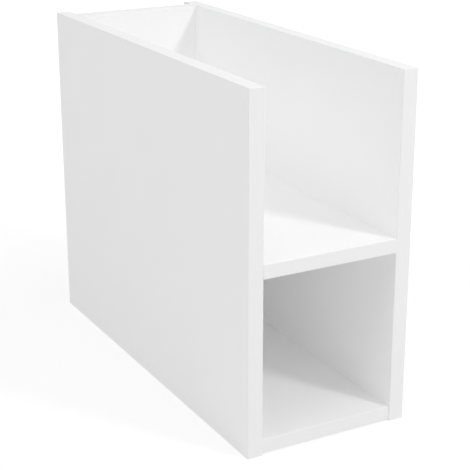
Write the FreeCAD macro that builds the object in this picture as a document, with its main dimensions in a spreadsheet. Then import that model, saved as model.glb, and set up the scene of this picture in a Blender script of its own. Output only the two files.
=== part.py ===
import FreeCAD, Part
import enum
import math
import os

import Sketcher

# Open low cabinet in white melamine-faced board: two sides, a bottom, a fixed shelf and an inset back.
# +Z is up and the open front faces -Y. The origin lies on the floor, under the middle of the cabinet.
# Lengths are millimetres. "Depth" in a name is a distance from the cabinet's front plane.

SIZES = [
    ("cabinet_width", 200, "outer face to outer face of the sides"),
    ("cabinet_depth", 500, "front to rear edge of the sides"),
    ("cabinet_height", 400, "lower to upper edge of the sides"),
    ("side_board", 18, "thickness of the sides"),
    ("inner_board", 16, "thickness of the bottom, the shelf and the back"),
    ("edging", 1, "thickness of the edging strips"),
    ("edging_round", 0.7, "radius on the outer corners of the edging"),
    ("base_lift", 1.5, "floor to the underside of the bottom panel"),
    ("bottom_setback", 1.5, "front of the sides to the front of the bottom panel"),
    ("lower_clear_height", 183, "bottom panel to the underside of the shelf"),
    ("dowel_margin", 96, "dowel of a lying board to the front plane or to the back"),
    ("back_dowel_margin", 110, "dowel of the back to its upper or lower end"),
    ("dowel_diameter", 8, "beech dowel, across the ridges between its flutes"),
    ("dowel_cover", 6, "board left behind a dowel hole in a side"),
    ("dowel_in_board", 18.5, "dowel length inside the joined board"),
    ("dowel_chamfer", 1, "bevel on both dowel ends"),
    ("hole_room", 0.1, "radial room of dowels and screws in their holes"),
    ("end_room", 0.5, "room beyond the end of a dowel or screw"),
    ("hanger_side_room", 2, "side panel to the bracket beside it"),
    ("hanger_drop", 12, "top of the cabinet to the top of a bracket"),
    ("wall_room", 1.3, "nose of the hook to the wall"),
    ("bracket_sheet", 2, "steel of the bracket"),
    ("bracket_ear", 11, "width of each ear that takes the fixing screws"),
    ("bracket_corner", 4, "rounded corners of the bracket plate"),
    ("bracket_fold", 1.5, "outer radius of the folded guides"),
    ("flange_bend", 0.5, "inner radius of the bend from the plate to the flange"),
    ("flange_corner", 3, "rounded corners of the flange"),
    ("bend_relief", 1.5, "cut beside the flange and above the guides, which frees the bend"),
    ("guide_lip", 4, "overlap of each guide on the hook plate"),
    ("guide_spare", 6, "bracket below the hook at the lower end of its travel"),
    ("sliding_room", 0.3, "room between hook and bracket on each side"),
    ("flange_border", 1.5, "flange beyond the head of the height screw"),
    ("flange_room", 0.2, "flange to the head of the height screw, and to its collar"),
    ("hook_plate", 2, "thickness of the plate that slides in the guides"),
    ("hook_cheek", 2.5, "thickness of each hook cheek"),
    ("cheek_gap", 13, "room between the cheeks"),
    ("cheek_room", 3, "cheek to the guide lip beside it"),
    ("throat_width", 5, "mouth that takes the wall rail"),
    ("throat_height", 22, "lower end of the hook to the top of the mouth"),
    ("throat_room", 0.7, "height screw to the mouth"),
    ("hook_crown", 9, "hook above the mouth"),
    ("crown_round", 2.5, "radius on the crown of the hook"),
    ("shoulder_drop", 9, "slope from the hook's upper end down to its crown"),
    ("nose_thickness", 2.2, "nose behind the wall rail"),
    ("nose_drop", 11, "top of the mouth to the tip of the nose"),
    ("nose_lead", 1.2, "slanted lead-in at the tip of the nose"),
    ("bridge_height", 13, "threaded bridge between the cheeks"),
    ("height_travel", 7, "hook travel up, and as much down"),
    ("height_screw_diameter", 6, "height screw thread"),
    ("screw_plate_room", 0.5, "height screw to the sliding plate"),
    ("screw_head_step", 1.5, "head of the height screw beyond its thread"),
    ("screw_head_height", 3, "head of the height screw"),
    ("screw_socket", 4, "hexagon socket, across flats"),
    ("screw_socket_depth", 2, "hexagon socket"),
    ("collar_step", 1.2, "collar of the height screw beyond its thread"),
    ("collar_height", 1.2, "collar that keeps the height screw in the flange"),
    ("stop_room", 0.8, "hook to the collar at the upper end of its travel"),
    ("screw_spare", 2, "height screw beyond the bridge at the lower end of the travel"),
    ("fixing_diameter", 4, "fixing screw of the bracket"),
    ("fixing_cover", 4, "board left before the end of a fixing screw"),
    ("fixing_head_step", 2, "head of the fixing screw beyond its thread"),
    ("fixing_head_height", 2.4, "head of the fixing screw"),
    ("fixing_margin", 12, "fixing screw to the end of the bracket"),
]

# Hanger section, measured back from the rear face of the back panel
PLATE_FRONT = "(sizes.bracket_sheet + sizes.sliding_room)"
PLATE_REAR = f"({PLATE_FRONT} + sizes.hook_plate)"
LIP_FRONT = f"({PLATE_REAR} + sizes.sliding_room)"
LIP_REAR = f"({LIP_FRONT} + sizes.bracket_sheet)"
SCREW_OUT = f"({PLATE_REAR} + sizes.screw_plate_room + sizes.height_screw_diameter / 2)"
SCREW_HEAD_RADIUS = "(sizes.height_screw_diameter / 2 + sizes.screw_head_step)"
FLANGE_REAR = f"({SCREW_OUT} + {SCREW_HEAD_RADIUS} + sizes.flange_border)"
THROAT_FRONT = f"({SCREW_OUT} + sizes.height_screw_diameter / 2 + sizes.throat_room)"
NOSE_FRONT = f"({THROAT_FRONT} + sizes.throat_width)"
NOSE_REAR = f"({NOSE_FRONT} + sizes.nose_thickness)"
REAR_GAP = f"({NOSE_REAR} + sizes.wall_room)"

# Carcass, with the front plane at half the depth in front of the origin
FRONT = "-sizes.cabinet_depth / 2"
INNER_WIDTH = "(sizes.cabinet_width - 2 * sizes.side_board)"
INNER_LEFT = "-(sizes.cabinet_width / 2 - sizes.side_board)"
INNER_RIGHT = "(sizes.cabinet_width / 2 - sizes.side_board)"
SIDE_CORE_DEPTH = "(sizes.cabinet_depth - 2 * sizes.edging)"
SIDE_CORE_HEIGHT = "(sizes.cabinet_height - 2 * sizes.edging)"
BACK_DEPTH = f"(sizes.cabinet_depth - {REAR_GAP} - sizes.inner_board)"
BACK_REAR_Y = f"(sizes.cabinet_depth / 2 - {REAR_GAP})"
BACK_CORE_LIFT = "(sizes.base_lift + sizes.edging)"
BACK_CORE_HEIGHT = f"(sizes.cabinet_height - sizes.edging - {BACK_CORE_LIFT})"
BOTTOM_CORE_DEPTH = "(sizes.bottom_setback + sizes.edging)"
SHELF_CORE_DEPTH = "sizes.edging"
SHELF_LIFT = "(sizes.base_lift + sizes.inner_board + sizes.lower_clear_height)"
MID_BOARD = "sizes.inner_board / 2"

# Dowels: depths on the lying boards, and heights above the floor on the back
LYING_DOWELS = ["sizes.dowel_margin", f"({BACK_DEPTH} - sizes.dowel_margin)"]
BACK_DOWELS = ["(sizes.base_lift + sizes.back_dowel_margin)",
               "(sizes.cabinet_height - sizes.back_dowel_margin)"]
DOWEL_IN_SIDE = "(sizes.side_board - sizes.dowel_cover - sizes.end_room)"
DOWEL_LENGTH = f"({DOWEL_IN_SIDE} + sizes.dowel_in_board)"

# Hanger outline and heights
HOOK_HEIGHT = "(sizes.throat_height + sizes.hook_crown + sizes.shoulder_drop)"
HOOK_WIDTH = ("(sizes.cheek_gap"
              " + 2 * (sizes.hook_cheek + sizes.cheek_room + sizes.guide_lip))")
GUIDE_WALL = "(sizes.bracket_ear + sizes.bracket_sheet)"
BRACKET_WIDTH = f"({HOOK_WIDTH} + 2 * (sizes.sliding_room + {GUIDE_WALL}))"
HOOK_DROP = ("(sizes.bracket_sheet + sizes.flange_room + sizes.collar_height"
             " + sizes.stop_room + sizes.height_travel)")
BRACKET_HEIGHT = f"({HOOK_DROP} + {HOOK_HEIGHT} + sizes.height_travel + sizes.guide_spare)"
FLANGE_TOP = "(sizes.cabinet_height - sizes.hanger_drop)"
FLANGE_UNDERSIDE = f"({FLANGE_TOP} - sizes.bracket_sheet)"
BRACKET_LIFT = f"({FLANGE_TOP} - {BRACKET_HEIGHT})"
HOOK_LIFT = f"({FLANGE_TOP} - {HOOK_DROP} - {HOOK_HEIGHT})"
SCREW_TIP = (f"({FLANGE_TOP} - {HOOK_DROP} - sizes.bridge_height"
             " - sizes.height_travel - sizes.screw_spare)")
HANGER_RIGHT = f"({INNER_RIGHT} - sizes.hanger_side_room - {BRACKET_WIDTH} / 2)"
HANGERS = {"left": f"-{HANGER_RIGHT}", "right": HANGER_RIGHT}
FIXING_REACH = f"({BRACKET_WIDTH} / 2 - sizes.bracket_ear / 2)"
FIXING_LIFTS = [f"({BRACKET_LIFT} + sizes.fixing_margin)", f"({FLANGE_TOP} - sizes.fixing_margin)"]
FIXING_IN_BACK = "(sizes.inner_board - sizes.fixing_cover - sizes.end_room)"

# Sketch references, as the sketcher counts them. The origin is the start of the horizontal axis
Axis = enum.IntEnum("Axis", ["VERTICAL", "HORIZONTAL"], start=-2)
Point = enum.IntEnum("Point", ["START", "END", "CENTRE"])
SOCKET_SIDES = 6
DOWEL_FLUTES = 9

UNTURNED = FreeCAD.Rotation()
HALF_TURN = FreeCAD.Rotation(FreeCAD.Vector(0, 0, 1), 180)
FACING_REAR = FreeCAD.Rotation(FreeCAD.Vector(1, 0, 0), -90)

doc = FreeCAD.newDocument("open_low_cabinet")
sheet = doc.addObject("Spreadsheet::Sheet", "sizes")
for row, (alias, size, meaning) in enumerate(SIZES, start=1):
    sheet.set(f"A{row}", meaning)
    sheet.set(f"B{row}", str(size))
    sheet.setAlias(f"B{row}", alias)
doc.recompute()

nodes = []


def value(expression):
    """Length that an expression on the sheet gives now."""
    return float(sheet.evalExpression(expression))


def place(piece, x, y, z):
    """Tie a piece's place to the sheet."""
    for axis, expression in zip("xyz", (x, y, z)):
        piece.setExpression(f"Placement.Base.{axis}", expression)


def new_body(label, is_node=True):
    body = doc.addObject("PartDesign::Body", label)
    if is_node:
        nodes.append(body)
    return body


def new_sketch(body, name, plane, offset="0"):
    """Sketch on one of the body's own planes, moved along the plane's normal."""
    sketch = body.newObject("Sketcher::SketchObject", f"{body.Name}_{name}")
    support = next(item for item in body.Origin.OriginFeatures if item.Role == plane)
    sketch.AttachmentSupport = [(support, "")]
    sketch.MapMode = "FlatFace"
    sketch.setExpression("AttachmentOffset.Base.z", offset)
    return sketch


def pin(sketch, geometry, point, across, up):
    """Hold a point of a sketch at two distances from the sketch's origin."""
    origin = (Axis.HORIZONTAL, Point.START)
    for kind, axis, expression in (("DistanceX", Axis.VERTICAL, across), ("DistanceY", Axis.HORIZONTAL, up)):
        if expression == "0":
            sketch.addConstraint(Sketcher.Constraint("PointOnObject", geometry, point, axis))
            continue
        distance = Sketcher.Constraint(kind, *origin, geometry, point, value(expression))
        index = sketch.addConstraint(distance)
        sketch.setExpression(f"Constraints[{index}]", expression)


def outline(sketch, corners):
    """Closed run of straight lines through corners, each given as across and up."""
    points = [FreeCAD.Vector(value(across), value(up), 0) for across, up in corners]
    following = points[1:] + points[:1]
    lines = sketch.addGeometry([Part.LineSegment(*pair) for pair in zip(points, following)], False)
    for line, next_line in zip(lines, lines[1:] + lines[:1]):
        sketch.addConstraint(Sketcher.Constraint("Coincident", line, Point.END, next_line, Point.START))
    for line, (across, up) in zip(lines, corners):
        pin(sketch, line, Point.START, across, up)


def rectangle(sketch, left, low, right, high):
    outline(sketch, [(left, low), (right, low), (right, high), (left, high)])


def polygon(sketch, corner_radius, sides):
    """Regular outline about the sketch's origin."""
    turns = [360 * corner / sides for corner in range(sides)]
    outline(sketch, [(f"{corner_radius} * cos({turn} deg)", f"{corner_radius} * sin({turn} deg)")
                     for turn in turns])


def circles(sketch, centres, diameter):
    """Equal circles about centres, each given as across and up."""
    for across, up in centres:
        centre = FreeCAD.Vector(value(across), value(up), 0)
        ring = Part.Circle(centre, FreeCAD.Vector(0, 0, 1), value(diameter) / 2)
        geometry = sketch.addGeometry(ring, False)
        pin(sketch, geometry, Point.CENTRE, across, up)
        index = sketch.addConstraint(Sketcher.Constraint("Diameter", geometry, value(diameter)))
        sketch.setExpression(f"Constraints[{index}]", diameter)


def pad(body, sketch, length, backwards=False):
    """Solid from a sketch, along the sketch plane's normal unless backwards."""
    feature = body.newObject("PartDesign::Pad", f"{sketch.Name}_pad")
    feature.Profile = sketch
    feature.Reversed = backwards
    feature.setExpression("Length", length)
    doc.recompute()


def pocket(body, sketch, length, along_normal=False):
    """Cut from a sketch, against the sketch plane's normal unless along_normal."""
    before = body.Shape.Volume
    feature = body.newObject("PartDesign::Pocket", f"{sketch.Name}_pocket")
    feature.Profile = sketch
    feature.Reversed = along_normal
    feature.setExpression("Length", length)
    doc.recompute()
    if not body.Shape.Volume < before:
        raise RuntimeError(f"{feature.Name} cut nothing")


def drill(body, name, plane, offset, centres, diameter, depth, along_normal=False):
    """Round holes from one face."""
    sketch = new_sketch(body, name, plane, offset)
    circles(sketch, centres, diameter)
    pocket(body, sketch, depth, along_normal)


def revolve(body, sketch, axis):
    """Turned solid from a half outline."""
    feature = body.newObject("PartDesign::Revolution", f"{sketch.Name}_turned")
    feature.Profile = sketch
    feature.ReferenceAxis = (sketch, [axis])
    feature.Angle = 360
    doc.recompute()


def dress_edges(body, kind, size_name, size, chosen):
    """Fillet or chamfer on the edges of the body that pass the test."""
    base = body.Tip
    names = [f"Edge{number}" for number, edge in enumerate(base.Shape.Edges, start=1) if chosen(edge)]
    feature = body.newObject(f"PartDesign::{kind}", f"{body.Name}_{kind}")
    feature.Base = (base, names)
    feature.setExpression(size_name, size)
    doc.recompute()


def round_edges(body, radius, chosen):
    dress_edges(body, "Fillet", "Radius", radius, chosen)


def bevel_edges(body, width, chosen):
    dress_edges(body, "Chamfer", "Size", width, chosen)


def on_face(edge, axis, height):
    """Whether a whole edge lies at one height along an axis of the body's own frame."""
    ends = [getattr(vertex.Point, axis) for vertex in edge.Vertexes]
    return all(math.isclose(end, height, abs_tol=1e-6) for end in ends)


def runs_along(edge, axis):
    """Whether an edge is a straight line along an axis of the body's own frame."""
    ends = [vertex.Point for vertex in edge.Vertexes]
    if len(ends) != 2:
        return False
    others = "xyz".replace(axis, "")
    return all(math.isclose(getattr(ends[0], other), getattr(ends[1], other), abs_tol=1e-6)
               for other in others)


def spans(edge, axis, limits):
    """Whether an edge runs from one limit to the other along an axis of the body's own frame."""
    ends = sorted(getattr(vertex.Point, axis) for vertex in edge.Vertexes)
    return len(ends) == len(limits) and all(math.isclose(end, limit, abs_tol=1e-6)
                                            for end, limit in zip(ends, limits))


def group(label, blank, places):
    """One node of equal separate pieces: copies of a blank, each with a turn and a place."""
    copies = []
    for number, (turn, x, y, z) in enumerate(places, start=1):
        copy = doc.addObject("App::Link", f"{label}_{number}")
        copy.LinkedObject = blank
        copy.Placement = FreeCAD.Placement(FreeCAD.Vector(), turn)
        place(copy, x, y, z)
        copies.append(copy)
    gathered = doc.addObject("Part::Compound", label)
    gathered.Links = copies
    nodes.append(gathered)


def hole(diameter):
    """Diameter of the hole that a round piece goes into."""
    return f"({diameter} + 2 * sizes.hole_room)"


# Sides: chipboard cores, drilled on their inner faces
def side_panel(label, x, inner_face, drill_along_normal):
    body = new_body(label)
    core = new_sketch(body, "core", "YZ_Plane")
    rectangle(core, "0", "0", SIDE_CORE_DEPTH, SIDE_CORE_HEIGHT)
    pad(body, core, "sizes.side_board")
    spots = [(f"({depth} - sizes.edging)", f"({lift} + {MID_BOARD} - sizes.edging)")
             for lift in ("sizes.base_lift", SHELF_LIFT) for depth in LYING_DOWELS]
    spots += [(f"({BACK_DEPTH} + {MID_BOARD} - sizes.edging)", f"({height} - sizes.edging)")
              for height in BACK_DOWELS]
    drill(body, "dowel_holes", "YZ_Plane", inner_face, spots, hole("sizes.dowel_diameter"),
          f"({DOWEL_IN_SIDE} + sizes.end_room)", drill_along_normal)
    place(body, x, f"{FRONT} + sizes.edging", "sizes.edging")


side_panel("left_side_panel", "-sizes.cabinet_width / 2", "sizes.side_board", False)
side_panel("right_side_panel", INNER_RIGHT, "0", True)


def drill_ends(body, spots):
    """Dowel holes in both ends of a board that stands between the sides."""
    for end, offset, along_normal in (("left", "0", True), ("right", INNER_WIDTH, False)):
        drill(body, f"{end}_dowel_holes", "YZ_Plane", offset, spots, hole("sizes.dowel_diameter"),
              "(sizes.dowel_in_board + sizes.end_room)", along_normal)


# Lying boards: the bottom and the shelf, from the front edging to the back
def lying_board(label, core_depth, lift):
    body = new_body(label)
    core = new_sketch(body, "core", "XY_Plane")
    rectangle(core, "0", "0", INNER_WIDTH, f"({BACK_DEPTH} - {core_depth})")
    pad(body, core, "sizes.inner_board")
    drill_ends(body, [(f"({depth} - {core_depth})", MID_BOARD) for depth in LYING_DOWELS])
    place(body, INNER_LEFT, f"{FRONT} + {core_depth}", lift)


lying_board("bottom_panel", BOTTOM_CORE_DEPTH, "sizes.base_lift")
lying_board("middle_shelf", SHELF_CORE_DEPTH, SHELF_LIFT)


def fixing_spots(hanger_x):
    """Fixing screws of one bracket: across from the middle of the cabinet, and up from the floor."""
    return [(f"({hanger_x} {sign} {FIXING_REACH})", lift) for sign in "-+" for lift in FIXING_LIFTS]


# Back: stands between the sides, with the bracket fixings drilled in its rear face
def back_panel():
    body = new_body("back_panel")
    core = new_sketch(body, "core", "XZ_Plane")
    rectangle(core, "0", "0", INNER_WIDTH, BACK_CORE_HEIGHT)
    pad(body, core, "sizes.inner_board", backwards=True)
    drill_ends(body, [(MID_BOARD, f"({height} - {BACK_CORE_LIFT})") for height in BACK_DOWELS])
    fixings = [(f"({x} - {INNER_LEFT})", f"({lift} - {BACK_CORE_LIFT})")
               for hanger_x in HANGERS.values() for x, lift in fixing_spots(hanger_x)]
    drill(body, "fixing_holes", "XZ_Plane", "-sizes.inner_board", fixings,
          hole("sizes.fixing_diameter"), f"({FIXING_IN_BACK} + sizes.end_room)", True)
    place(body, INNER_LEFT, f"{FRONT} + {BACK_DEPTH}", BACK_CORE_LIFT)


back_panel()


# Edging strips: each is padded along its length, with its outer corners rounded
def standing_edging(label, x, y, outer_side):
    """Strip up the front or rear edge of a side, over the full height."""
    body = new_body(label)
    strip = new_sketch(body, "strip", "XY_Plane")
    rectangle(strip, "0", "0", "sizes.side_board", "sizes.edging")
    pad(body, strip, "sizes.cabinet_height")
    outer = value(outer_side)
    round_edges(body, "sizes.edging_round", lambda edge: on_face(edge, "y", outer))
    place(body, x, y, "0")


def lying_edging(label, run, length, width, outer_side, x, y, z):
    """Strip along a level edge of a board, over run 'x' or 'y'."""
    body = new_body(label)
    strip = new_sketch(body, "strip", "XY_Plane")
    corner = (length, width) if run == "x" else (width, length)
    rectangle(strip, "0", "0", *corner)
    pad(body, strip, "sizes.edging")
    outer = value(outer_side)
    round_edges(body, "sizes.edging_round",
                lambda edge: on_face(edge, "z", outer) and runs_along(edge, run))
    place(body, x, y, z)


def front_edging(label, y, z):
    """Strip across the front edge of a lying board, between the sides."""
    body = new_body(label)
    strip = new_sketch(body, "strip", "XY_Plane")
    rectangle(strip, "0", "0", INNER_WIDTH, "sizes.edging")
    pad(body, strip, "sizes.inner_board")
    round_edges(body, "sizes.edging_round",
                lambda edge: on_face(edge, "y", 0) and runs_along(edge, "x"))
    place(body, INNER_LEFT, y, z)


for hand, side_x in (("left", "-sizes.cabinet_width / 2"), ("right", INNER_RIGHT)):
    standing_edging(f"{hand}_side_front_edging", side_x, FRONT, "0")
    standing_edging(f"{hand}_side_rear_edging", side_x,
                    "sizes.cabinet_depth / 2 - sizes.edging", "sizes.edging")
    lying_edging(f"{hand}_side_top_edging", "y", SIDE_CORE_DEPTH, "sizes.side_board", "sizes.edging",
                 side_x, f"{FRONT} + sizes.edging", "sizes.cabinet_height - sizes.edging")
    lying_edging(f"{hand}_side_bottom_edging", "y", SIDE_CORE_DEPTH, "sizes.side_board", "0",
                 side_x, f"{FRONT} + sizes.edging", "0")
front_edging("bottom_front_edging", f"{FRONT} + sizes.bottom_setback", "sizes.base_lift")
front_edging("shelf_front_edging", FRONT, SHELF_LIFT)
lying_edging("back_top_edging", "x", INNER_WIDTH, "sizes.inner_board", "sizes.edging",
             INNER_LEFT, f"{FRONT} + {BACK_DEPTH}", "sizes.cabinet_height - sizes.edging")
lying_edging("back_bottom_edging", "x", INNER_WIDTH, "sizes.inner_board", "0",
             INNER_LEFT, f"{FRONT} + {BACK_DEPTH}", "sizes.base_lift")


# Fasteners that repeat: one blank of each, copied into its places
def dowel_blank():
    """Fluted dowel along +X from the end that sits in the side, with a flat for each flute."""
    body = new_body("dowel_blank", is_node=False)
    section = new_sketch(body, "section", "YZ_Plane")
    polygon(section, "sizes.dowel_diameter / 2", DOWEL_FLUTES)
    pad(body, section, DOWEL_LENGTH)
    length = value(DOWEL_LENGTH)
    bevel_edges(body, "sizes.dowel_chamfer",
                lambda edge: on_face(edge, "x", 0) or on_face(edge, "x", length))
    return body


def fixing_blank():
    """Low-headed screw up +Z from its end in the board."""
    body = new_body("fixing_blank", is_node=False)
    half = new_sketch(body, "half", "XZ_Plane")
    seat = f"({FIXING_IN_BACK} + sizes.bracket_sheet)"
    top = f"({seat} + sizes.fixing_head_height)"
    radius = "sizes.fixing_diameter / 2"
    head_radius = f"({radius} + sizes.fixing_head_step)"
    outline(half, [("0", "0"), (radius, "0"), (radius, seat), (head_radius, seat), (head_radius, top),
                   ("0", top)])
    revolve(body, half, "V_Axis")
    return body


def both_ends(spots):
    """Dowels at the left end and, turned half round, at the right end of a board."""
    ends = ((UNTURNED, f"{INNER_LEFT} - {DOWEL_IN_SIDE}"),
            (HALF_TURN, f"{INNER_RIGHT} + {DOWEL_IN_SIDE}"))
    return [(turn, x, y, z) for turn, x in ends for y, z in spots]


dowel = dowel_blank()
fixing = fixing_blank()
for board, lift in (("bottom", "sizes.base_lift"), ("shelf", SHELF_LIFT)):
    lying_spots = [(f"{FRONT} + {depth}", f"{lift} + {MID_BOARD}") for depth in LYING_DOWELS]
    group(f"{board}_dowels", dowel, both_ends(lying_spots))
standing_spots = [(f"{FRONT} + {BACK_DEPTH} + {MID_BOARD}", height) for height in BACK_DOWELS]
group("back_dowels", dowel, both_ends(standing_spots))


# Hangers: a bracket on the back, a hook that slides in it and the screw that sets the hook's height
def bend_flange(body):
    """Flange bent back from the top of a bracket's plate, cut free of the ears and the guides."""
    ear = "sizes.bracket_ear"
    other_ear = f"({BRACKET_WIDTH} - {ear})"
    cut_height = "(sizes.bracket_sheet + sizes.bend_relief)"
    guide_ends = new_sketch(body, "guide_ends", "XY_Plane", BRACKET_HEIGHT)
    rectangle(guide_ends, ear, "sizes.bracket_sheet", other_ear, LIP_REAR)
    pocket(body, guide_ends, cut_height)
    flange = new_sketch(body, "flange", "XY_Plane", f"({BRACKET_HEIGHT} - sizes.bracket_sheet)")
    rectangle(flange, ear, "0", other_ear, FLANGE_REAR)
    pad(body, flange, "sizes.bracket_sheet")
    notches = new_sketch(body, "notches", "XZ_Plane")
    for left, right in ((f"({ear} - sizes.bend_relief)", ear),
                        (other_ear, f"({other_ear} + sizes.bend_relief)")):
        rectangle(notches, left, f"({BRACKET_HEIGHT} - {cut_height})", right, BRACKET_HEIGHT)
    pocket(body, notches, "sizes.bracket_sheet")
    sheet_thickness = value("sizes.bracket_sheet")
    top = value(BRACKET_HEIGHT)
    flange_sides = [value(ear), value(other_ear)]
    round_edges(body, "(sizes.flange_bend + sizes.bracket_sheet)", lambda edge: on_face(edge, "y", 0)
                and on_face(edge, "z", top) and spans(edge, "x", flange_sides))
    round_edges(body, "sizes.flange_bend", lambda edge: on_face(edge, "y", sheet_thickness)
                and on_face(edge, "z", top - sheet_thickness) and spans(edge, "x", flange_sides))
    flange_rear = value(FLANGE_REAR)
    round_edges(body, "sizes.flange_corner",
                lambda edge: on_face(edge, "y", flange_rear) and runs_along(edge, "z"))


def hanger_bracket(hand, hanger_x):
    """Plate with two ears, two folded guides for the hook and a flange for the height screw."""
    body = new_body(f"{hand}_hanger_bracket")
    ear = "sizes.bracket_ear"
    lip = f"({GUIDE_WALL} + sizes.sliding_room + sizes.guide_lip)"
    face = "sizes.bracket_sheet"
    guide = [(ear, face), (ear, LIP_REAR), (lip, LIP_REAR), (lip, LIP_FRONT), (GUIDE_WALL, LIP_FRONT),
             (GUIDE_WALL, face)]
    other_guide = [(f"({BRACKET_WIDTH} - {across})", out) for across, out in reversed(guide)]
    section = new_sketch(body, "section", "XY_Plane")
    outline(section, [("0", "0"), ("0", face)] + guide + other_guide
            + [(BRACKET_WIDTH, face), (BRACKET_WIDTH, "0")])
    pad(body, section, BRACKET_HEIGHT)
    plate_sides = (0, value(BRACKET_WIDTH))
    round_edges(body, "sizes.bracket_corner", lambda edge: runs_along(edge, "y")
                and any(on_face(edge, "x", side) for side in plate_sides))
    fold_sides = (value(ear), value(f"{BRACKET_WIDTH} - {ear}"))
    fold_rear = value(LIP_REAR)
    round_edges(body, "sizes.bracket_fold", lambda edge: on_face(edge, "y", fold_rear)
                and any(on_face(edge, "x", side) for side in fold_sides))
    bend_flange(body)
    middle = f"{BRACKET_WIDTH} / 2"
    drill(body, "screw_hole", "XY_Plane", BRACKET_HEIGHT, [(middle, SCREW_OUT)],
          hole("sizes.height_screw_diameter"), "sizes.bracket_sheet")
    spots = [(f"({x} - {hanger_x} + {middle})", f"({lift} - {BRACKET_LIFT})")
             for x, lift in fixing_spots(hanger_x)]
    drill(body, "fixing_holes", "XZ_Plane", "0", spots,
          hole("sizes.fixing_diameter"), "sizes.bracket_sheet")
    place(body, f"{hanger_x} - {middle}", BACK_REAR_Y, BRACKET_LIFT)


def hanger_hook(hand, hanger_x):
    """Sliding plate with two cheeks, each with a mouth open downwards, and a threaded bridge."""
    body = new_body(f"{hand}_hook")
    plate = new_sketch(body, "plate", "XY_Plane")
    rectangle(plate, "0", PLATE_FRONT, HOOK_WIDTH, PLATE_REAR)
    pad(body, plate, HOOK_HEIGHT)
    mouth_top = "sizes.throat_height"
    tip = f"({mouth_top} - sizes.nose_drop)"
    cheek_outline = [(PLATE_FRONT, "0"), (THROAT_FRONT, "0"), (THROAT_FRONT, mouth_top),
                     (NOSE_FRONT, mouth_top), (NOSE_FRONT, f"({tip} + sizes.nose_lead)"),
                     (f"({NOSE_FRONT} + sizes.nose_lead)", tip), (NOSE_REAR, tip),
                     (NOSE_REAR, f"({mouth_top} + sizes.hook_crown)"), (THROAT_FRONT, HOOK_HEIGHT),
                     (PLATE_FRONT, HOOK_HEIGHT)]
    middle = f"{HOOK_WIDTH} / 2"
    inner_left = f"({middle} - sizes.cheek_gap / 2)"
    inner_right = f"({middle} + sizes.cheek_gap / 2)"
    for side, cheek_x in (("left", f"({inner_left} - sizes.hook_cheek)"), ("right", inner_right)):
        cheek = new_sketch(body, f"{side}_cheek", "YZ_Plane", cheek_x)
        outline(cheek, cheek_outline)
        pad(body, cheek, "sizes.hook_cheek")
    bridge = new_sketch(body, "bridge", "XY_Plane", f"({HOOK_HEIGHT} - sizes.bridge_height)")
    rectangle(bridge, inner_left, PLATE_FRONT, inner_right, THROAT_FRONT)
    pad(body, bridge, "sizes.bridge_height")
    drill(body, "screw_hole", "XY_Plane", HOOK_HEIGHT, [(middle, SCREW_OUT)],
          hole("sizes.height_screw_diameter"), "sizes.bridge_height")
    crown_rear = value(NOSE_REAR)
    crown_top = value(f"{mouth_top} + sizes.hook_crown")
    round_edges(body, "sizes.crown_round",
                lambda edge: on_face(edge, "y", crown_rear) and on_face(edge, "z", crown_top))
    place(body, f"{hanger_x} - {middle}", BACK_REAR_Y, HOOK_LIFT)


def height_screw(hand, hanger_x):
    """Turned screw, held in the flange between its head and its collar, with a hexagon socket."""
    body = new_body(f"{hand}_height_screw")
    half = new_sketch(body, "half", "XZ_Plane")
    radius = "sizes.height_screw_diameter / 2"
    collar_radius = f"({radius} + sizes.collar_step)"
    collar_top = f"({FLANGE_UNDERSIDE} - sizes.flange_room - {SCREW_TIP})"
    collar_low = f"({collar_top} - sizes.collar_height)"
    head_low = f"({FLANGE_TOP} + sizes.flange_room - {SCREW_TIP})"
    head_top = f"({head_low} + sizes.screw_head_height)"
    outline(half, [("0", "0"), (radius, "0"), (radius, collar_low), (collar_radius, collar_low),
                   (collar_radius, collar_top), (radius, collar_top), (radius, head_low),
                   (SCREW_HEAD_RADIUS, head_low), (SCREW_HEAD_RADIUS, head_top), ("0", head_top)])
    revolve(body, half, "V_Axis")
    socket = new_sketch(body, "socket", "XY_Plane", head_top)
    polygon(socket, f"(sizes.screw_socket / 2 / cos({180 / SOCKET_SIDES} deg))", SOCKET_SIDES)
    pocket(body, socket, "sizes.screw_socket_depth")
    place(body, hanger_x, f"{BACK_REAR_Y} + {SCREW_OUT}", SCREW_TIP)


for hand, hanger_x in HANGERS.items():
    hanger_bracket(hand, hanger_x)
    hanger_hook(hand, hanger_x)
    height_screw(hand, hanger_x)
    group(f"{hand}_bracket_screws", fixing, [(FACING_REAR, x, f"{BACK_REAR_Y} - {FIXING_IN_BACK}", lift)
                                             for x, lift in fixing_spots(hanger_x)])

doc.recompute()
for item in doc.Objects:
    if "Invalid" in item.State or "Error" in item.State:
        raise RuntimeError(f"{item.Name} failed: {item.State}")
for node in nodes:
    if node.Shape.isNull() or not node.Shape.isValid():
        raise RuntimeError(f"{node.Label} has no valid shape")

os.makedirs("parts", exist_ok=True)
for node in nodes:
    node.Shape.exportStep(f"parts/{node.Label}.step")
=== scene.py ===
import math

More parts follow.
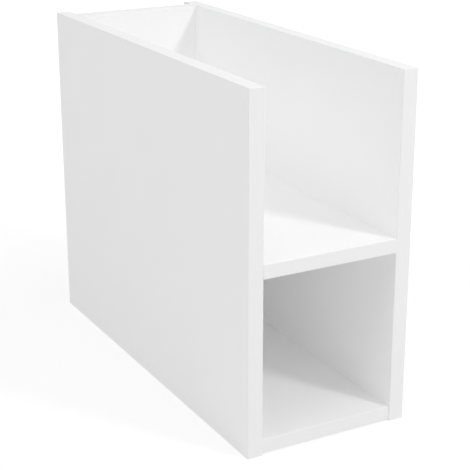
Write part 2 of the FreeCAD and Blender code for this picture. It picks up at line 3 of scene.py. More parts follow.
import bmesh
import bpy
from bpy.props import FloatProperty, FloatVectorProperty, IntProperty, PointerProperty
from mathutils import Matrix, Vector


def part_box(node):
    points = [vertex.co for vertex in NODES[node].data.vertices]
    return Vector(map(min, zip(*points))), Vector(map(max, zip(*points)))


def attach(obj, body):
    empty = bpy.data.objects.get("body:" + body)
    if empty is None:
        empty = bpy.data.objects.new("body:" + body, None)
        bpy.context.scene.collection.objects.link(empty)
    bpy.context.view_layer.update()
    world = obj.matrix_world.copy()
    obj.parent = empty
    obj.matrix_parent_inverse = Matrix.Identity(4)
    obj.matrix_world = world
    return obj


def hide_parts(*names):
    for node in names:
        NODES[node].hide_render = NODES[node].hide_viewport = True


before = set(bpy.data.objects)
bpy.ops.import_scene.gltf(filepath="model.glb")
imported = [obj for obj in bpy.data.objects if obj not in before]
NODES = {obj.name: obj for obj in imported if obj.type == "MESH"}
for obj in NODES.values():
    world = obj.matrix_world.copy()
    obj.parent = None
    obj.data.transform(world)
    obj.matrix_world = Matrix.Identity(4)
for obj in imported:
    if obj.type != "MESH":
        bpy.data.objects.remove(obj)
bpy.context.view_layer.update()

bl_info = {
    "name": "Open low cabinet",
    "version": (1, 0, 0),
    "blender": (4, 5, 0),
    "location": "3D View > Sidebar > Cabinet",
    "description": "Finishes a white open cabinet and its wall hangers, and sets up a studio",
    "category": "Object",
}

HANDS = ("left", "right")
BOARDS = ("left_side_panel", "right_side_panel", "bottom_panel", "middle_shelf", "back_panel")
DOWELS = ("bottom_dowels", "shelf_dowels", "back_dowels")

# Strips of edging by the axis that they were fed along when they were glued on and scraped
EDGING_RUNS = {
    "x": ("bottom_front_edging", "shelf_front_edging", "back_top_edging", "back_bottom_edging"),
    "y": [f"{hand}_side_{edge}_edging" for hand in HANDS for edge in ("top", "bottom")],
    "z": [f"{hand}_side_{edge}_edging" for hand in HANDS for edge in ("front", "rear")],
}

MILLIMETRE = 0.001
SENSOR_WIDTH = 36  # Millimetres
SAME_PLACE = 1e-6  # Metres, within which points count as one
FLAT_ANGLE = math.radians(1)  # Faces that turn by less are one flat face
CURVE_ANGLE = math.radians(35)  # Edges that turn by less are shaded as a curve
SHARP_ANGLE = math.radians(40)  # Edges that turn by more are sharp, and get rounded
WHITE = (1, 1, 1, 1)


def linear(hex_colour):
    """Linear colour, opaque, from an sRGB hex value."""
    channels = [int(hex_colour[start:start + 2], 16) / 255 for start in (1, 3, 5)]
    return [c / 12.92 if c <= 0.04045 else ((c + 0.055) / 1.055) ** 2.4 for c in channels] + [1.0]


def length(name, description, millimetres):
    """Length property, given in millimetres and held in metres."""
    return FloatProperty(name=name, description=description, default=millimetres * MILLIMETRE,
                         min=0.0, precision=5, subtype="DISTANCE", unit="LENGTH")


def colour(name, description, hex_colour):
    """Colour property, given as an sRGB hex value."""
    return FloatVectorProperty(name=name, description=description, default=linear(hex_colour),
                               size=4, min=0.0, max=1.0, subtype="COLOR")


def roughness(name, description, glossiest, dullest):
    """Roughness property of a finish: its glossiest and its dullest spots."""
    return FloatVectorProperty(name=name, description=description, default=(glossiest, dullest),
                               size=2, min=0.0, max=1.0)


def watts(name, description, power):
    """Lamp power property."""
    return FloatProperty(name=name, description=description, default=power, min=0.0, unit="POWER")


def spot(name, description, place):
    """Place property, in metres."""
    return FloatVectorProperty(name=name, description=description, default=place,
                               subtype="TRANSLATION", unit="LENGTH")


def turn(name, description, degrees):
    """Angle property, given in degrees and held in radians."""
    return FloatProperty(name=name, description=description, default=math.radians(degrees),
                         subtype="ANGLE", unit="ROTATION")


class CabinetBoards(bpy.types.PropertyGroup):
    """Film on the boards and strips on their edges"""
    film_white: colour("Film white", "Melamine film on the boards", "#FCFCFC")
    film_cloud: colour("Film cloud", "Slightly thinner patches of the film", "#FAFAFA")
    film_roughness: roughness("Film roughness", "Full and thinner patches of the film", 0.40, 0.50)
    cloud: length("Cloud", "Width of a thinner patch", 70)
    pearl: length("Pearl", "Width of one bump of the pearl texture", 1.2)
    pearl_rise: length("Pearl rise", "Height of the pearl texture", 0.012)
    edging_white: colour("Edging white", "ABS strips on the board edges", "#F7F7F7")
    edging_scraped: colour("Edging scraped", "Scraper lines along the strips", "#F3F3F3")
    edging_roughness: roughness("Edging roughness", "Strips beside and on the lines", 0.42, 0.56)
    scrape_width: length("Scrape width", "Distance between scraper lines", 0.9)
    scrape_length: length("Scrape length", "Length of a scraper line", 60)
    scrape_depth: length("Scrape depth", "Depth of a scraper line", 0.01)


class CabinetHangers(bpy.types.PropertyGroup):
    """Metals and small forms of the wall hangers, and beech of the dowels"""
    zinc_plate: colour("Zinc plate", "Zinc plating on sheet and screws", "#C6CACE")
    zinc_tint: colour("Zinc tint", "Thicker patches of the passivation", "#AEB6C0")
    sheet_roughness: roughness("Sheet roughness", "Rolling grain of the sheet", 0.24, 0.48)
    sheet_patch: length("Sheet patch", "Width of a tinted patch on the sheet", 9)
    grain_width: length("Grain width", "Width of a line of the rolling grain", 0.6)
    grain_length: length("Grain length", "Length of a line of the rolling grain", 30)
    grain_depth: length("Grain depth", "Depth of the rolling grain", 0.01)
    screw_roughness: roughness("Screw roughness", "Clear and tinted spots of a screw", 0.18, 0.38)
    screw_patch: length("Screw patch", "Width of a tinted patch on a screw", 2)
    casting: colour("Casting", "Zinc casting of the hooks", "#A6A9AB")
    casting_flow: colour("Casting flow", "Flow marks of the casting", "#7F8285")
    casting_roughness: roughness("Casting roughness", "Skin of the casting", 0.40, 0.68)
    flow_width: length("Flow width", "Width of a flow mark", 6)
    skin_grit: length("Skin grit", "Width of one bump of the casting's skin", 0.4)
    skin_rise: length("Skin rise", "Height of the casting's skin", 0.03)
    beech: colour("Beech", "Beech of the dowels", "#CFA981")
    beech_fleck: colour("Beech fleck", "Short dark flecks in beech", "#9A714C")
    fleck_width: length("Fleck width", "Width of a fleck", 0.8)
    fleck_length: length("Fleck length", "Length of a fleck, down the dowel", 7)
    pore_depth: length("Pore depth", "Depth of the pores in beech", 0.03)
    sheet_edge: length("Sheet edge", "Rounding on the sheared edges of a bracket", 0.3)
    casting_edge: length("Casting edge", "Rounding on the edges of a hook", 0.4)
    pitch: length("Pitch", "Thread of a height screw, from turn to turn", 1)
    thread_radius: length("Thread radius", "Crest of the height screw's thread", 3)
    thread_crest: length("Thread crest", "Blunting of the thread's crest", 0.125)
    thread_seat: length("Thread seat", "Depth of the thread's root inside the screw's core", 0.04)
    collar_radius: length("Collar radius", "Collar under the bracket's flange", 4.2)
    collar: length("Collar", "Height of the collar", 1.2)
    neck: length("Neck", "Plain neck in the bracket's flange", 2.4)
    head: length("Head", "Height of a height screw's head", 3)
    head_edge: length("Head edge", "Rounding on the head and the tip of a height screw", 0.5)
    socket: length("Socket", "Hexagon socket, across flats", 4)
    socket_depth: length("Socket depth", "Depth of the hexagon socket", 2)
    fixing_radius: length("Fixing radius", "Shank of a fixing screw", 2)
    fixing_head_radius: length("Fixing head radius", "Head of a fixing screw", 4)
    fixing_head: length("Fixing head", "Height of a fixing screw's head", 2.4)
    fixing_crown: length("Fixing crown", "Rounding on a fixing screw's head", 1.3)
    recess: length("Recess", "Cross recess, across its wings", 4.4)
    recess_wing: length("Recess wing", "Width of one wing of the cross recess", 1)
    recess_depth: length("Recess depth", "Depth of the cross recess", 1.7)
    facets: IntProperty(name="Facets", description="Sides of a turned piece", default=48, min=12)


class CabinetStudio(bpy.types.PropertyGroup):
    """Floor, lamps, sky and camera"""
    floor_white: colour("Floor white", "Pale floor", "#F2F2F2")
    floor_radius: length("Floor radius", "Floor round the cabinet", 9000)
    fade_start: length("Fade start", "Distance at which the floor begins to fade to white", 320)
    fade_end: length("Fade end", "Distance at which the floor has faded to plain white", 1600)
    veil: FloatProperty(name="Veil", description="Share of white over the floor by the cabinet",
                        default=0.6, min=0.0, max=1.0, subtype="FACTOR")
    veil_strength: FloatProperty(name="Veil strength", description="Brightness of that white",
                                 default=1.14, min=0.0)
    sky: FloatProperty(name="Sky", description="Even light from all round", default=0.626, min=0.0)
    bounces: IntProperty(name="Bounces", description="Times that the boards pass light on",
                         default=32, min=1)
    aim: spot("Aim", "Point by the cabinet's open top that the lamps face", (0.03, -0.1, 0.3))
    key_place: spot("Key place", "Middle of the lamp from the front right", (0.88, -1.75, 1.82))
    key_size: length("Key size", "Side of the lamp from the front right", 300)
    key_power: watts("Key power", "Lamp from the front right", 14.1)
    top_place: spot("Top place", "Middle of the lamp overhead", (0.0, -0.2, 2.4))
    top_size: length("Top size", "Side of the lamp overhead", 2000)
    top_power: watts("Top power", "Lamp overhead", 6.6)
    fill_place: spot("Fill place", "Middle of the lamp from the upper left", (-1.8, -0.6, 2.2))
    fill_size: length("Fill size", "Side of the lamp from the upper left", 1200)
    fill_power: watts("Fill power", "Lamp from the upper left", 6.7)
    camera_place: spot("Camera place", "Eye of the camera", (-0.6908, -1.295, 0.6715))
    camera_yaw: turn("Camera yaw", "Turn to the right from straight back", 28.85)
    camera_pitch: turn("Camera pitch", "Tilt down from level", 19.27)
    lens: FloatProperty(name="Lens", description="Focal length of the camera", default=98.1,
                        min=1.0, unit="CAMERA")


# Materials

def node(tree, kind, sockets, output=0, **options):
    """Add a node, set its options, set or link its sockets, and give back one of its outputs."""
    made = tree.nodes.new(kind)
    for name, option in options.items():
        setattr(made, name, option)
    for name, given in sockets.items():
        if isinstance(given, bpy.types.NodeSocket):
            tree.links.new(given, made.inputs[name])
        else:
            made.inputs[name].default_value = given
    return made.outputs[output] if made.outputs else None


def new_material(name):
    """Empty material, with its tree and the coordinates that its patterns follow."""
    material = bpy.data.materials.new(name)
    material.use_nodes = True
    material.node_tree.nodes.clear()
    place = node(material.node_tree, "ShaderNodeTexCoord", {}, output="Object")
    return material, material.node_tree, place


def pressed_melamine(look):
    """White melamine film on chipboard, pressed under a pearl plate."""
    # Even bright white with a broad soft sheen that clouds very slightly. The plate leaves low
    # bumps of about 0.6 mm, drawn twice as wide so that they show as a faint grain in glancing
    # light.
    material, tree, place = new_material("white_melamine_film_pressed")
    cloud = node(tree, "ShaderNodeTexNoise", {
        "Vector": place, "Scale": 1 / look.cloud, "Detail": 3})
    pearl = node(tree, "ShaderNodeTexNoise", {
        "Vector": place, "Scale": 1 / look.pearl, "Detail": 1})
    white = node(tree, "ShaderNodeMix", {0: cloud, 6: look.film_white, 7: look.film_cloud},
                 output=2, data_type="RGBA")
    glossiest, dullest = look.film_roughness
    sheen = node(tree, "ShaderNodeMapRange", {
        "Value": cloud, "To Min": glossiest, "To Max": dullest})
    bumps = node(tree, "ShaderNodeBump", {
        "Height": pearl, "Distance": look.pearl_rise, "Strength": 0.6})
    film = node(tree, "ShaderNodeBsdfPrincipled", {
        "Base Color": white, "Roughness": sheen, "IOR": 1.5, "Normal": bumps})
    node(tree, "ShaderNodeOutputMaterial", {"Surface": film})
    return material


def scraped_abs(look, run):
    """White ABS edging, extruded, glued on and scraped flush along one axis."""
    # A shade greyer and a little duller than the film, with faint lines where the scraper ran.
    # Real lines lie about 0.3 mm apart, and are drawn three times as far apart so that they show.
    material, tree, place = new_material(f"white_abs_edging_scraped_{run}")
    stretch = [1 / (look.scrape_length if axis == run else look.scrape_width) for axis in "xyz"]
    along = node(tree, "ShaderNodeMapping", {"Vector": place, "Scale": stretch})
    lines = node(tree, "ShaderNodeTexNoise", {"Vector": along, "Scale": 1, "Detail": 2})
    white = node(tree, "ShaderNodeMix", {0: lines, 6: look.edging_white, 7: look.edging_scraped},
                 output=2, data_type="RGBA")
    glossiest, dullest = look.edging_roughness
    sheen = node(tree, "ShaderNodeMapRange", {
        "Value": lines, "To Min": glossiest, "To Max": dullest})
    ridges = node(tree, "ShaderNodeBump", {
        "Height": lines, "Distance": look.scrape_depth, "Strength": 0.4})
    strip = node(tree, "ShaderNodeBsdfPrincipled", {
        "Base Color": white, "Roughness": sheen, "IOR": 1.53, "Normal": ridges})
    node(tree, "ShaderNodeOutputMaterial", {"Surface": strip})
    return material


def turned_beech(look):
    """Steamed beech, turned and fluted."""
    # Pinkish tan and dull, with dark ray flecks about 0.8 mm wide and 7 mm long down the dowel.
    material, tree, place = new_material("beech_turned")
    stretch = [1 / size for size in (look.fleck_length, look.fleck_width, look.fleck_width)]
    along = node(tree, "ShaderNodeMapping", {"Vector": place, "Scale": stretch})
    flecks = node(tree, "ShaderNodeTexNoise", {"Vector": along, "Scale": 1, "Detail": 3})
    tan = node(tree, "ShaderNodeMix", {0: flecks, 6: look.beech, 7: look.beech_fleck},
               output=2, data_type="RGBA")
    pores = node(tree, "ShaderNodeBump", {
        "Height": flecks, "Distance": look.pore_depth, "Strength": 0.6})
    wood = node(tree, "ShaderNodeBsdfPrincipled", {
        "Base Color": tan, "Roughness": 0.62, "Normal": pores})
    node(tree, "ShaderNodeOutputMaterial", {"Surface": wood})
    return material


def plated_sheet(look):
    """Cold-rolled steel sheet, folded, then zinc plated and blue passivated."""
    # Satin metal with soft bluish patches about 9 mm wide and an upright rolling grain. The grain
    # is about 0.2 mm wide, and is drawn three times as wide so that it shows.
    material, tree, place = new_material("steel_sheet_zinc_plated")
    stretch = [1 / size for size in (look.grain_width, look.grain_width, look.grain_length)]
    along = node(tree, "ShaderNodeMapping", {"Vector": place, "Scale": stretch})
    grain = node(tree, "ShaderNodeTexNoise", {"Vector": along, "Scale": 1, "Detail": 2})
    patches = node(tree, "ShaderNodeTexNoise", {
        "Vector": place, "Scale": 1 / look.sheet_patch, "Detail": 2})
    zinc = node(tree, "ShaderNodeMix", {0: patches, 6: look.zinc_plate, 7: look.zinc_tint},
                output=2, data_type="RGBA")
    glossiest, dullest = look.sheet_roughness
    satin = node(tree, "ShaderNodeMapRange", {
        "Value": grain, "To Min": glossiest, "To Max": dullest})
    lines = node(tree, "ShaderNodeBump", {
        "Height": grain, "Distance": look.grain_depth, "Strength": 0.5})
    metal = node(tree, "ShaderNodeBsdfPrincipled", {
        "Base Color": zinc, "Metallic": 1, "Roughness": satin, "Normal": lines})
    node(tree, "ShaderNodeOutputMaterial", {"Surface": metal})
    return material


def cast_zinc(look):
    """Zinc alloy, die cast and left as it came from the mould."""
    # Dull grey metal with a sandy skin of about 0.4 mm and darker flow marks about 6 mm wide.
    material, tree, place = new_material("zinc_die_cast")
    skin = node(tree, "ShaderNodeTexNoise", {
        "Vector": place, "Scale": 1 / look.skin_grit, "Detail": 2})
    flow = node(tree, "ShaderNodeTexNoise", {
        "Vector": place, "Scale": 1 / look.flow_width, "Detail": 3})
    grey = node(tree, "ShaderNodeMix", {0: flow, 6: look.casting, 7: look.casting_flow},
                output=2, data_type="RGBA")
    glossiest, dullest = look.casting_roughness
    dull = node(tree, "ShaderNodeMapRange", {
        "Value": skin, "To Min": glossiest, "To Max": dullest})
    sand = node(tree, "ShaderNodeBump", {
        "Height": skin, "Distance": look.skin_rise, "Strength": 0.6})
    metal = node(tree, "ShaderNodeBsdfPrincipled", {
        "Base Color": grey, "Metallic": 1, "Roughness": dull, "Normal": sand})
    node(tree, "ShaderNodeOutputMaterial", {"Surface": metal})
    return material


def plated_screw(look):
    """Screw steel, cold headed and thread rolled, then zinc plated. All screws share it."""
    # Brighter and smoother than the sheet, with small tinted patches about 2 mm wide.
    name = "screw_steel_zinc_plated"
    if name in bpy.data.materials:
        return bpy.data.materials[name]
    material, tree, place = new_material(name)
    patches = node(tree, "ShaderNodeTexNoise", {
        "Vector": place, "Scale": 1 / look.screw_patch, "Detail": 2})
    zinc = node(tree, "ShaderNodeMix", {0: patches, 6: look.zinc_plate, 7: look.zinc_tint},
                output=2, data_type="RGBA")
    glossiest, dullest = look.screw_roughness
    bright = node(tree, "ShaderNodeMapRange", {
        "Value": patches, "To Min": glossiest, "To Max": dullest})
    metal = node(tree, "ShaderNodeBsdfPrincipled", {
        "Base Color": zinc, "Metallic": 1, "Roughness": bright})
    node(tree, "ShaderNodeOutputMaterial", {"Surface": metal})
    return material


def dress(piece, material):
    """Give a whole piece one material."""
    piece.data.materials.clear()
    piece.data.materials.append(material)


# Modelling by hand

def deselect():
    """Select nothing."""
    bpy.ops.object.select_all(action="DESELECT")


def only(piece):
    """Select one piece alone and make it the active one."""
    deselect()
    piece.select_set(True)
    bpy.context.view_layer.objects.active = piece


def apply_place(piece):
    """Put a piece's place and turn into its mesh."""
    only(piece)
    bpy.ops.object.transform_apply(location=True, rotation=True, scale=True)


def added(name):
    """The piece that an operator has just added, named, with its place in its mesh."""
    piece = bpy.context.active_object
    piece.name = name
    apply_place(piece)
    return piece


def pick(piece, kind, test):
    """In edit mode, select just the faces, edges or vertices of a piece that pass a test."""
    bpy.ops.mesh.select_mode(type={"faces": "FACE", "edges": "EDGE", "verts": "VERT"}[kind])
    bpy.ops.mesh.select_all(action="DESELECT")
    shape = bmesh.from_edit_mesh(piece.data)
    chosen = [part for part in getattr(shape, kind) if test(part)]
    if not chosen:
        raise RuntimeError(f"{piece.name} has no such {kind}")
    for part in chosen:
        part.select = True
    shape.select_flush_mode()
    bmesh.update_edit_mesh(piece.data)


def level_at(part, height):
    """Whether a whole face or edge lies at one height."""
    return all(math.isclose(vertex.co.z, height, abs_tol=SAME_PLACE) for vertex in part.verts)


def apply_modifier(piece, kind, **options):
    """Add a modifier to a piece and apply it."""
    only(piece)
    bpy.ops.object.modifier_add(type=kind)
    modifier = piece.modifiers[-1]
    for name, option in options.items():
        setattr(modifier, name, option)
    bpy.ops.object.modifier_apply(modifier=modifier.name)


def combine(piece, other, operation):
    """Take another shape out of a piece, or make them one skin, and use the other shape up."""
    apply_modifier(piece, "BOOLEAN", operation=operation, object=other, solver="EXACT",
                   use_self=True)
    bpy.data.objects.remove(other)


def smooth(piece):
    """Shade the curves of a piece smooth and leave its sharp edges sharp."""
    only(piece)
    bpy.ops.object.shade_smooth_by_angle(angle=CURVE_ANGLE)


def joined(pieces):
    """Several pieces as one, in the first of them."""
    only(pieces[0])
    for piece in pieces:
        piece.select_set(True)
    bpy.ops.object.join()
    return pieces[0]


def spread(piece, shifts):
    """The piece and copies of it, each with its own mesh, moved by shifts."""
    pieces = [piece]
    for _ in shifts[1:]:
        only(piece)
        bpy.ops.object.duplicate()
        pieces.append(bpy.context.active_object)
    for copy, shift in zip(pieces, shifts):
        copy.location = shift
        apply_place(copy)
    return pieces


def settle(piece, name, body, material, replaced):
    """Name and dress a finished piece, which rides on a body in the place of a CAD node."""
    piece.name = name
    piece.data.name = name
    dress(piece, material)
    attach(piece, body)
    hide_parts(replaced)


def turned(name, facets, profile):
    """Turned piece up the Z axis: a cylinder drawn out by steps, each a radius and a height."""
    (radius, low), (_, high) = profile[:2]
    bpy.ops.mesh.primitive_cylinder_add(vertices=facets, radius=radius, depth=high - low,
                                        location=(0, 0, (low + high) / 2))
    piece = added(name)
    bpy.ops.object.mode_set(mode="EDIT")
    pick(piece, "faces", lambda face: level_at(face, high))
    for next_radius, next_high in profile[2:]:
        bpy.ops.mesh.extrude_region_move(
            TRANSFORM_OT_translate={"value": (0, 0, next_high - high)})
        growth = next_radius / radius
        bpy.ops.transform.resize(value=(growth, growth, 1), center_override=(0, 0, next_high))
        radius, high = next_radius, next_high
    bpy.ops.object.mode_set(mode="OBJECT")
    return piece


def round_rims(piece, heights, width, segments):
    """Round the level rims of a turned piece."""
    only(piece)
    bpy.ops.object.mode_set(mode="EDIT")
    pick(piece, "edges", lambda edge: any(level_at(edge, height) for height in heights))
    bpy.ops.mesh.bevel(offset=width, segments=segments, affect="EDGES")
    bpy.ops.object.mode_set(mode="OBJECT")


def softened(node_name, width, spared):
    """Copy of a CAD node's mesh, merged, with its sharp edges rounded apart from those spared."""
    piece = bpy.data.objects.new(node_name + "_softened", NODES[node_name].data.copy())
    bpy.context.scene.collection.objects.link(piece)
    only(piece)
    bpy.ops.object.mode_set(mode="EDIT")
    bpy.ops.mesh.select_all(action="SELECT")
    bpy.ops.mesh.remove_doubles(threshold=SAME_PLACE)
    bpy.ops.mesh.dissolve_limited(angle_limit=FLAT_ANGLE)
    pick(piece, "edges", lambda edge: edge.calc_face_angle(0) > SHARP_ANGLE and not spared(edge))
    bpy.ops.mesh.bevel(offset=width, segments=2, affect="EDGES", clamp_overlap=True)
    bpy.ops.object.mode_set(mode="OBJECT")
    smooth(piece)
    return piece


def hand_to_hand(kind):
    """Shifts that take the left-hand piece of a kind to itself and to its right-hand place."""
    lows = [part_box(f"{hand}_{kind}")[0] for hand in HANDS]
    return [low - lows[0] for low in lows]


# Pieces

class CABINET_OT_face_boards(bpy.types.Operator):
    """Face the boards with white melamine film"""
    bl_idname = "cabinet.face_boards"
    bl_label = "Face the boards"

    def execute(self, context):
        film = pressed_melamine(context.scene.cabinet_boards)
        for name in BOARDS:
            dress(NODES[name], film)
        return {"FINISHED"}


class CABINET_OT_edge_boards(bpy.types.Operator):
    """Finish the strips of edging, each along the way that it was scraped"""
    bl_idname = "cabinet.edge_boards"
    bl_label = "Edge the boards"

    def execute(self, context):
        for run, names in EDGING_RUNS.items():
            strip = scraped_abs(context.scene.cabinet_boards, run)
            for name in names:
                dress(NODES[name], strip)
        return {"FINISHED"}


class CABINET_OT_finish_dowels(bpy.types.Operator):
    """Finish the beech dowels inside the joints"""
    bl_idname = "cabinet.finish_dowels"
    bl_label = "Finish the dowels"

    def execute(self, context):
        wood = turned_beech(context.scene.cabinet_hangers)
        for name in DOWELS:
            dress(NODES[name], wood)
        return {"FINISHED"}


class CABINET_OT_fold_brackets(bpy.types.Operator):
    """Make the folded sheet brackets, with their sheared edges rounded"""
    bl_idname = "cabinet.fold_brackets"
    bl_label = "Fold the brackets"

    def execute(self, context):
        look = context.scene.cabinet_hangers
        metal = plated_sheet(look)
        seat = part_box("left_hanger_bracket")[0].y

        def on_seat(edge):
            """Whether an edge lies on the cabinet's back, where it stays as it was sheared."""
            return all(math.isclose(vertex.co.y, seat, abs_tol=SAME_PLACE)
                       for vertex in edge.verts)

        bracket = softened("left_hanger_bracket", look.sheet_edge, on_seat)
        for hand, piece in zip(HANDS, spread(bracket, hand_to_hand("hanger_bracket"))):
            settle(piece, f"{hand}_folded_bracket", "carcass", metal,
                   f"{hand}_hanger_bracket")
        return {"FINISHED"}


class CABINET_OT_cast_hooks(bpy.types.Operator):
    """Make the cast hooks, with rounded edges"""
    bl_idname = "cabinet.cast_hooks"
    bl_label = "Cast the hooks"

    def execute(self, context):
        look = context.scene.cabinet_hangers
        metal = cast_zinc(look)
        low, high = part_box("left_height_screw")
        middle = (low + high) / 2

        def at_screw_hole(edge):
            """Whether an edge is on the rim of the screw's hole, too thin a wall to round."""
            return all((vertex.co - middle).xy.length < look.thread_radius + look.casting_edge
                       for vertex in edge.verts)

        hook = softened("left_hook", look.casting_edge, at_screw_hole)
        for hand, piece in zip(HANDS, spread(hook, hand_to_hand("hook"))):
            name = f"{hand}_hook"
            settle(piece, f"{hand}_cast_hook", name, metal, name)
        return {"FINISHED"}


def helical_thread(look, low, high):
    """Ridge wound up the Z axis: a square ring, cut open, blunted, driven up a screw, closed."""
    half = look.pitch / 2
    root = look.thread_radius - half
    bpy.ops.mesh.primitive_circle_add(vertices=4, radius=half, rotation=(math.pi / 2, 0, 0),
                                      location=(root, 0, low + half))
    ridge = added("thread_ridge")
    bpy.ops.object.mode_set(mode="EDIT")
    pick(ridge, "verts", lambda vertex: vertex.co.x < root - half / 2)
    bpy.ops.mesh.delete(type="VERT")
    pick(ridge, "verts", lambda vertex: vertex.co.x > root + half / 2)
    bpy.ops.mesh.bevel(offset=look.thread_crest, affect="VERTICES")
    bpy.ops.object.mode_set(mode="OBJECT")
    turns = int((high - low) / look.pitch) - 1
    apply_modifier(ridge, "SCREW", axis="Z", angle=2 * math.pi, screw_offset=look.pitch,
                   iterations=turns, steps=look.facets, render_steps=look.facets)
    bpy.ops.object.mode_set(mode="EDIT")
    bpy.ops.mesh.select_all(action="SELECT")
    bpy.ops.mesh.remove_doubles(threshold=SAME_PLACE)
    bpy.ops.mesh.fill_holes(sides=0)
    bpy.ops.mesh.normals_make_consistent(inside=False)
    bpy.ops.object.mode_set(mode="OBJECT")
    return ridge


def height_screw(look, long, head_radius):
    """Height screw up the Z axis from its tip: threaded core, collar, neck, head with a socket."""
    head_low = long - look.head
    collar_top = head_low - look.neck
    collar_low = collar_top - look.collar
    core = look.thread_radius - look.pitch / 2 + look.thread_seat
    screw = turned("height_screw", look.facets, [
        (core, 0), (core, collar_low),
        (look.collar_radius, collar_low), (look.collar_radius, collar_top),
        (look.thread_radius, collar_top), (look.thread_radius, head_low),
        (head_radius, head_low), (head_radius, long)])
    round_rims(screw, [0, long], look.head_edge, segments=3)
    bpy.ops.mesh.primitive_cylinder_add(vertices=6, radius=look.socket / math.sqrt(3),
                                        depth=2 * look.socket_depth, location=(0, 0, long))
    combine(screw, added("socket_cutter"), "DIFFERENCE")
    combine(screw, helical_thread(look, look.pitch, collar_low), "UNION")
    # The cut where the thread runs into the core leaves slivers, which are merged away
    bpy.ops.object.mode_set(mode="EDIT")
    bpy.ops.mesh.select_all(action="SELECT")
    bpy.ops.mesh.remove_doubles(threshold=look.thread_seat / 4)
    bpy.ops.mesh.dissolve_degenerate(threshold=SAME_PLACE)
    bpy.ops.object.mode_set(mode="OBJECT")
    smooth(screw)
    return screw


class CABINET_OT_turn_height_screws(bpy.types.Operator):
    """Turn the height screws, with their threads, collars and hexagon sockets"""
    bl_idname = "cabinet.turn_height_screws"
    bl_label = "Turn the height screws"

    def execute(self, context):
        look = context.scene.cabinet_hangers
        metal = plated_screw(look)
        tips = []
        for hand in HANDS:
            low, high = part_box(f"{hand}_height_screw")
            tips.append(((low.x + high.x) / 2, (low.y + high.y) / 2, low.z))
        screw = height_screw(look, high.z - low.z, (high.x - low.x) / 2)
        for hand, piece in zip(HANDS, spread(screw, tips)):
            name = f"{hand}_height_screw"
            settle(piece, f"{hand}_threaded_screw", name, metal, name)
        return {"FINISHED"}


def fixing_screw(look, long):
    """Fixing screw along the Y axis from its end in the board: shank, round head, cross recess."""
    seat = long - look.fixing_head
    screw = turned("fixing_screw", look.facets, [
        (look.fixing_radius, 0), (look.fixing_radius, seat),
        (look.fixing_head_radius, seat), (look.fixing_head_radius, long)])
    round_rims(screw, [long], look.fixing_crown, segments=5)
    # One wing, narrowed to its foot and doubled crosswise
    foot = long - look.recess_depth
    foot_share = (0.3, 0.7, 1)
    bpy.ops.mesh.primitive_cube_add(
        size=1, location=(0, 0, long),
        scale=(look.recess, look.recess_wing, 2 * look.recess_depth))
    cutter = added("recess_cutter")
    bpy.ops.object.mode_set(mode="EDIT")
    pick(cutter, "faces", lambda face: level_at(face, foot))
    bpy.ops.transform.resize(value=foot_share, center_override=(0, 0, foot))
    bpy.ops.mesh.select_all(action="SELECT")
    bpy.ops.mesh.duplicate()
    bpy.ops.transform.rotate(value=math.pi / 2, orient_axis="Z", center_override=(0, 0, long))
    bpy.ops.object.mode_set(mode="OBJECT")
    combine(screw, cutter, "DIFFERENCE")
    smooth(screw)
    screw.rotation_euler = (-math.pi / 2, 0, 0)
    apply_place(screw)
    return screw


class CABINET_OT_drive_fixing_screws(bpy.types.Operator):
    """Drive the fixing screws of the brackets, with rounded heads and cross recesses"""
    bl_idname = "cabinet.drive_fixing_screws"
    bl_label = "Drive the fixing screws"

    def execute(self, context):
        look = context.scene.cabinet_hangers
        metal = plated_screw(look)
        border = look.fixing_head_radius
        ends = []
        for hand in HANDS:
            low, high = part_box(f"{hand}_bracket_screws")
            ends.append([(x, low.y, z) for x in (low.x + border, high.x - border)
                         for z in (low.z + border, high.z - border)])
        screws = spread(fixing_screw(look, high.y - low.y), sum(ends, []))
        for hand, places in zip(HANDS, ends):
            piece = joined([screws.pop(0) for _ in places])
            settle(piece, f"{hand}_cross_head_screws", "carcass", metal,
                   f"{hand}_bracket_screws")
        return {"FINISHED"}


# Stage

def seen_by_eye(tree):
    """1 for what the camera sees, also by gloss or glass, and 0 for light that falls on things."""
    ways = [node(tree, "ShaderNodeLightPath", {}, output=f"Is {way} Ray")
            for way in ("Camera", "Glossy", "Transmission")]
    seen = node(tree, "ShaderNodeMath", {0: ways[0], 1: ways[1]}, operation="MAXIMUM")
    return node(tree, "ShaderNodeMath", {0: seen, 1: ways[2]}, operation="MAXIMUM")


def painted_floor(setup):
    """Matt white paint on a smooth floor."""
    # Near the cabinet the eye sees the paint with its shadow under a veil of white, and further
    # out the veil closes to plain white. The veil's strength brings the open floor to white.
    material, tree, place = new_material("floor_paint_matt")
    reach = node(tree, "ShaderNodeVectorMath", {0: place}, output="Value", operation="LENGTH")
    veil = node(tree, "ShaderNodeMapRange", {
        "Value": reach, "From Min": setup.fade_start, "From Max": setup.fade_end,
        "To Min": setup.veil, "To Max": 1})
    seen = node(tree, "ShaderNodeMath", {0: seen_by_eye(tree), 1: veil}, operation="MULTIPLY")
    paint = node(tree, "ShaderNodeBsdfDiffuse", {"Color": setup.floor_white})
    white = node(tree, "ShaderNodeEmission", {"Color": WHITE, "Strength": setup.veil_strength})
    mix = node(tree, "ShaderNodeMixShader", {0: seen, 1: paint, 2: white})
    node(tree, "ShaderNodeOutputMaterial", {"Surface": mix})
    return material


def studio_sky(setup):
    """Even light on the cabinet, and plain white to the eye."""
    world = bpy.data.worlds.new("studio_sky")
    world.use_nodes = True
    tree = world.node_tree
    tree.nodes.clear()
    light = node(tree, "ShaderNodeBackground", {"Color": WHITE, "Strength": setup.sky})
    white = node(tree, "ShaderNodeBackground", {"Color": WHITE, "Strength": 1})
    mix = node(tree, "ShaderNodeMixShader", {0: seen_by_eye(tree), 1: light, 2: white})
    node(tree, "ShaderNodeOutputWorld", {"Surface": mix})
    return world


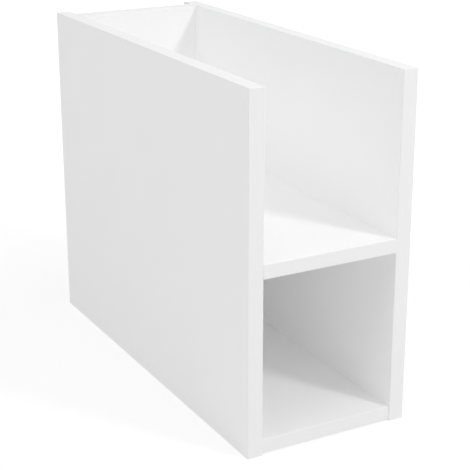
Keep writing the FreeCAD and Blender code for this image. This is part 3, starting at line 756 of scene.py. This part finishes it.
def soft_lamp(name, place, aim, size, power):
    """Square lamp that faces a point."""
    facing = (Vector(aim) - Vector(place)).to_track_quat("-Z", "Y").to_euler()
    bpy.ops.object.light_add(type="AREA", location=place, rotation=facing)
    lamp = bpy.context.active_object
    lamp.name = name
    lamp.data.size = size
    lamp.data.energy = power


def studio_camera(setup):
    """Camera that looks down at the cabinet's open front and top, past its left side."""
    level = math.cos(setup.camera_pitch)
    ahead = Vector((level * math.sin(setup.camera_yaw), level * math.cos(setup.camera_yaw),
                    -math.sin(setup.camera_pitch)))
    bpy.ops.object.camera_add(location=setup.camera_place,
                              rotation=ahead.to_track_quat("-Z", "Y").to_euler())
    camera = bpy.context.active_object
    camera.name = "studio_camera"
    camera.data.sensor_width = SENSOR_WIDTH
    camera.data.lens = setup.lens
    return camera


class CABINET_OT_set_stage(bpy.types.Operator):
    """Lay the floor and set the lamps, the sky and the camera"""
    bl_idname = "cabinet.set_stage"
    bl_label = "Set the stage"

    def execute(self, context):
        scene = context.scene
        setup = scene.cabinet_studio
        deselect()
        bpy.ops.mesh.primitive_circle_add(vertices=96, radius=setup.floor_radius,
                                          fill_type="NGON")
        floor = added("studio_floor")
        dress(floor, painted_floor(setup))
        soft_lamp("key_lamp", setup.key_place, setup.aim, setup.key_size, setup.key_power)
        soft_lamp("top_lamp", setup.top_place, setup.aim, setup.top_size, setup.top_power)
        soft_lamp("fill_lamp", setup.fill_place, setup.aim, setup.fill_size, setup.fill_power)
        scene.world = studio_sky(setup)
        # White boards pass light on to each other many times before it is lost
        scene.cycles.max_bounces = setup.bounces
        scene.cycles.diffuse_bounces = setup.bounces
        scene.camera = studio_camera(setup)
        scene.view_settings.view_transform = "Standard"
        return {"FINISHED"}


STEPS = (
    CABINET_OT_face_boards, CABINET_OT_edge_boards, CABINET_OT_finish_dowels,
    CABINET_OT_fold_brackets, CABINET_OT_cast_hooks, CABINET_OT_turn_height_screws,
    CABINET_OT_drive_fixing_screws, CABINET_OT_set_stage,
)
GROUPS = {
    "cabinet_boards": CabinetBoards,
    "cabinet_hangers": CabinetHangers,
    "cabinet_studio": CabinetStudio,
}


class CABINET_PT_sidebar(bpy.types.Panel):
    """Steps, sizes and colours of the cabinet"""
    bl_label = "Open low cabinet"
    bl_space_type = "VIEW_3D"
    bl_region_type = "UI"
    bl_category = "Cabinet"

    def draw(self, context):
        for step in STEPS:
            self.layout.operator(step.bl_idname)
        for name, group in GROUPS.items():
            box = self.layout.box()
            for prop in group.__annotations__:
                box.prop(getattr(context.scene, name), prop)


CLASSES = (*GROUPS.values(), *STEPS, CABINET_PT_sidebar)


def register():
    for cls in CLASSES:
        bpy.utils.register_class(cls)
    for name, group in GROUPS.items():
        setattr(bpy.types.Scene, name, PointerProperty(type=group))


def unregister():
    for name in GROUPS:
        delattr(bpy.types.Scene, name)
    for cls in reversed(CLASSES):
        bpy.utils.unregister_class(cls)


def main():
    register()
    bpy.ops.cabinet.face_boards()
    bpy.ops.cabinet.edge_boards()
    bpy.ops.cabinet.finish_dowels()
    bpy.ops.cabinet.fold_brackets()
    bpy.ops.cabinet.cast_hooks()
    bpy.ops.cabinet.turn_height_screws()
    bpy.ops.cabinet.drive_fixing_screws()
    bpy.ops.cabinet.set_stage()


if __name__ == "__main__":
    main()
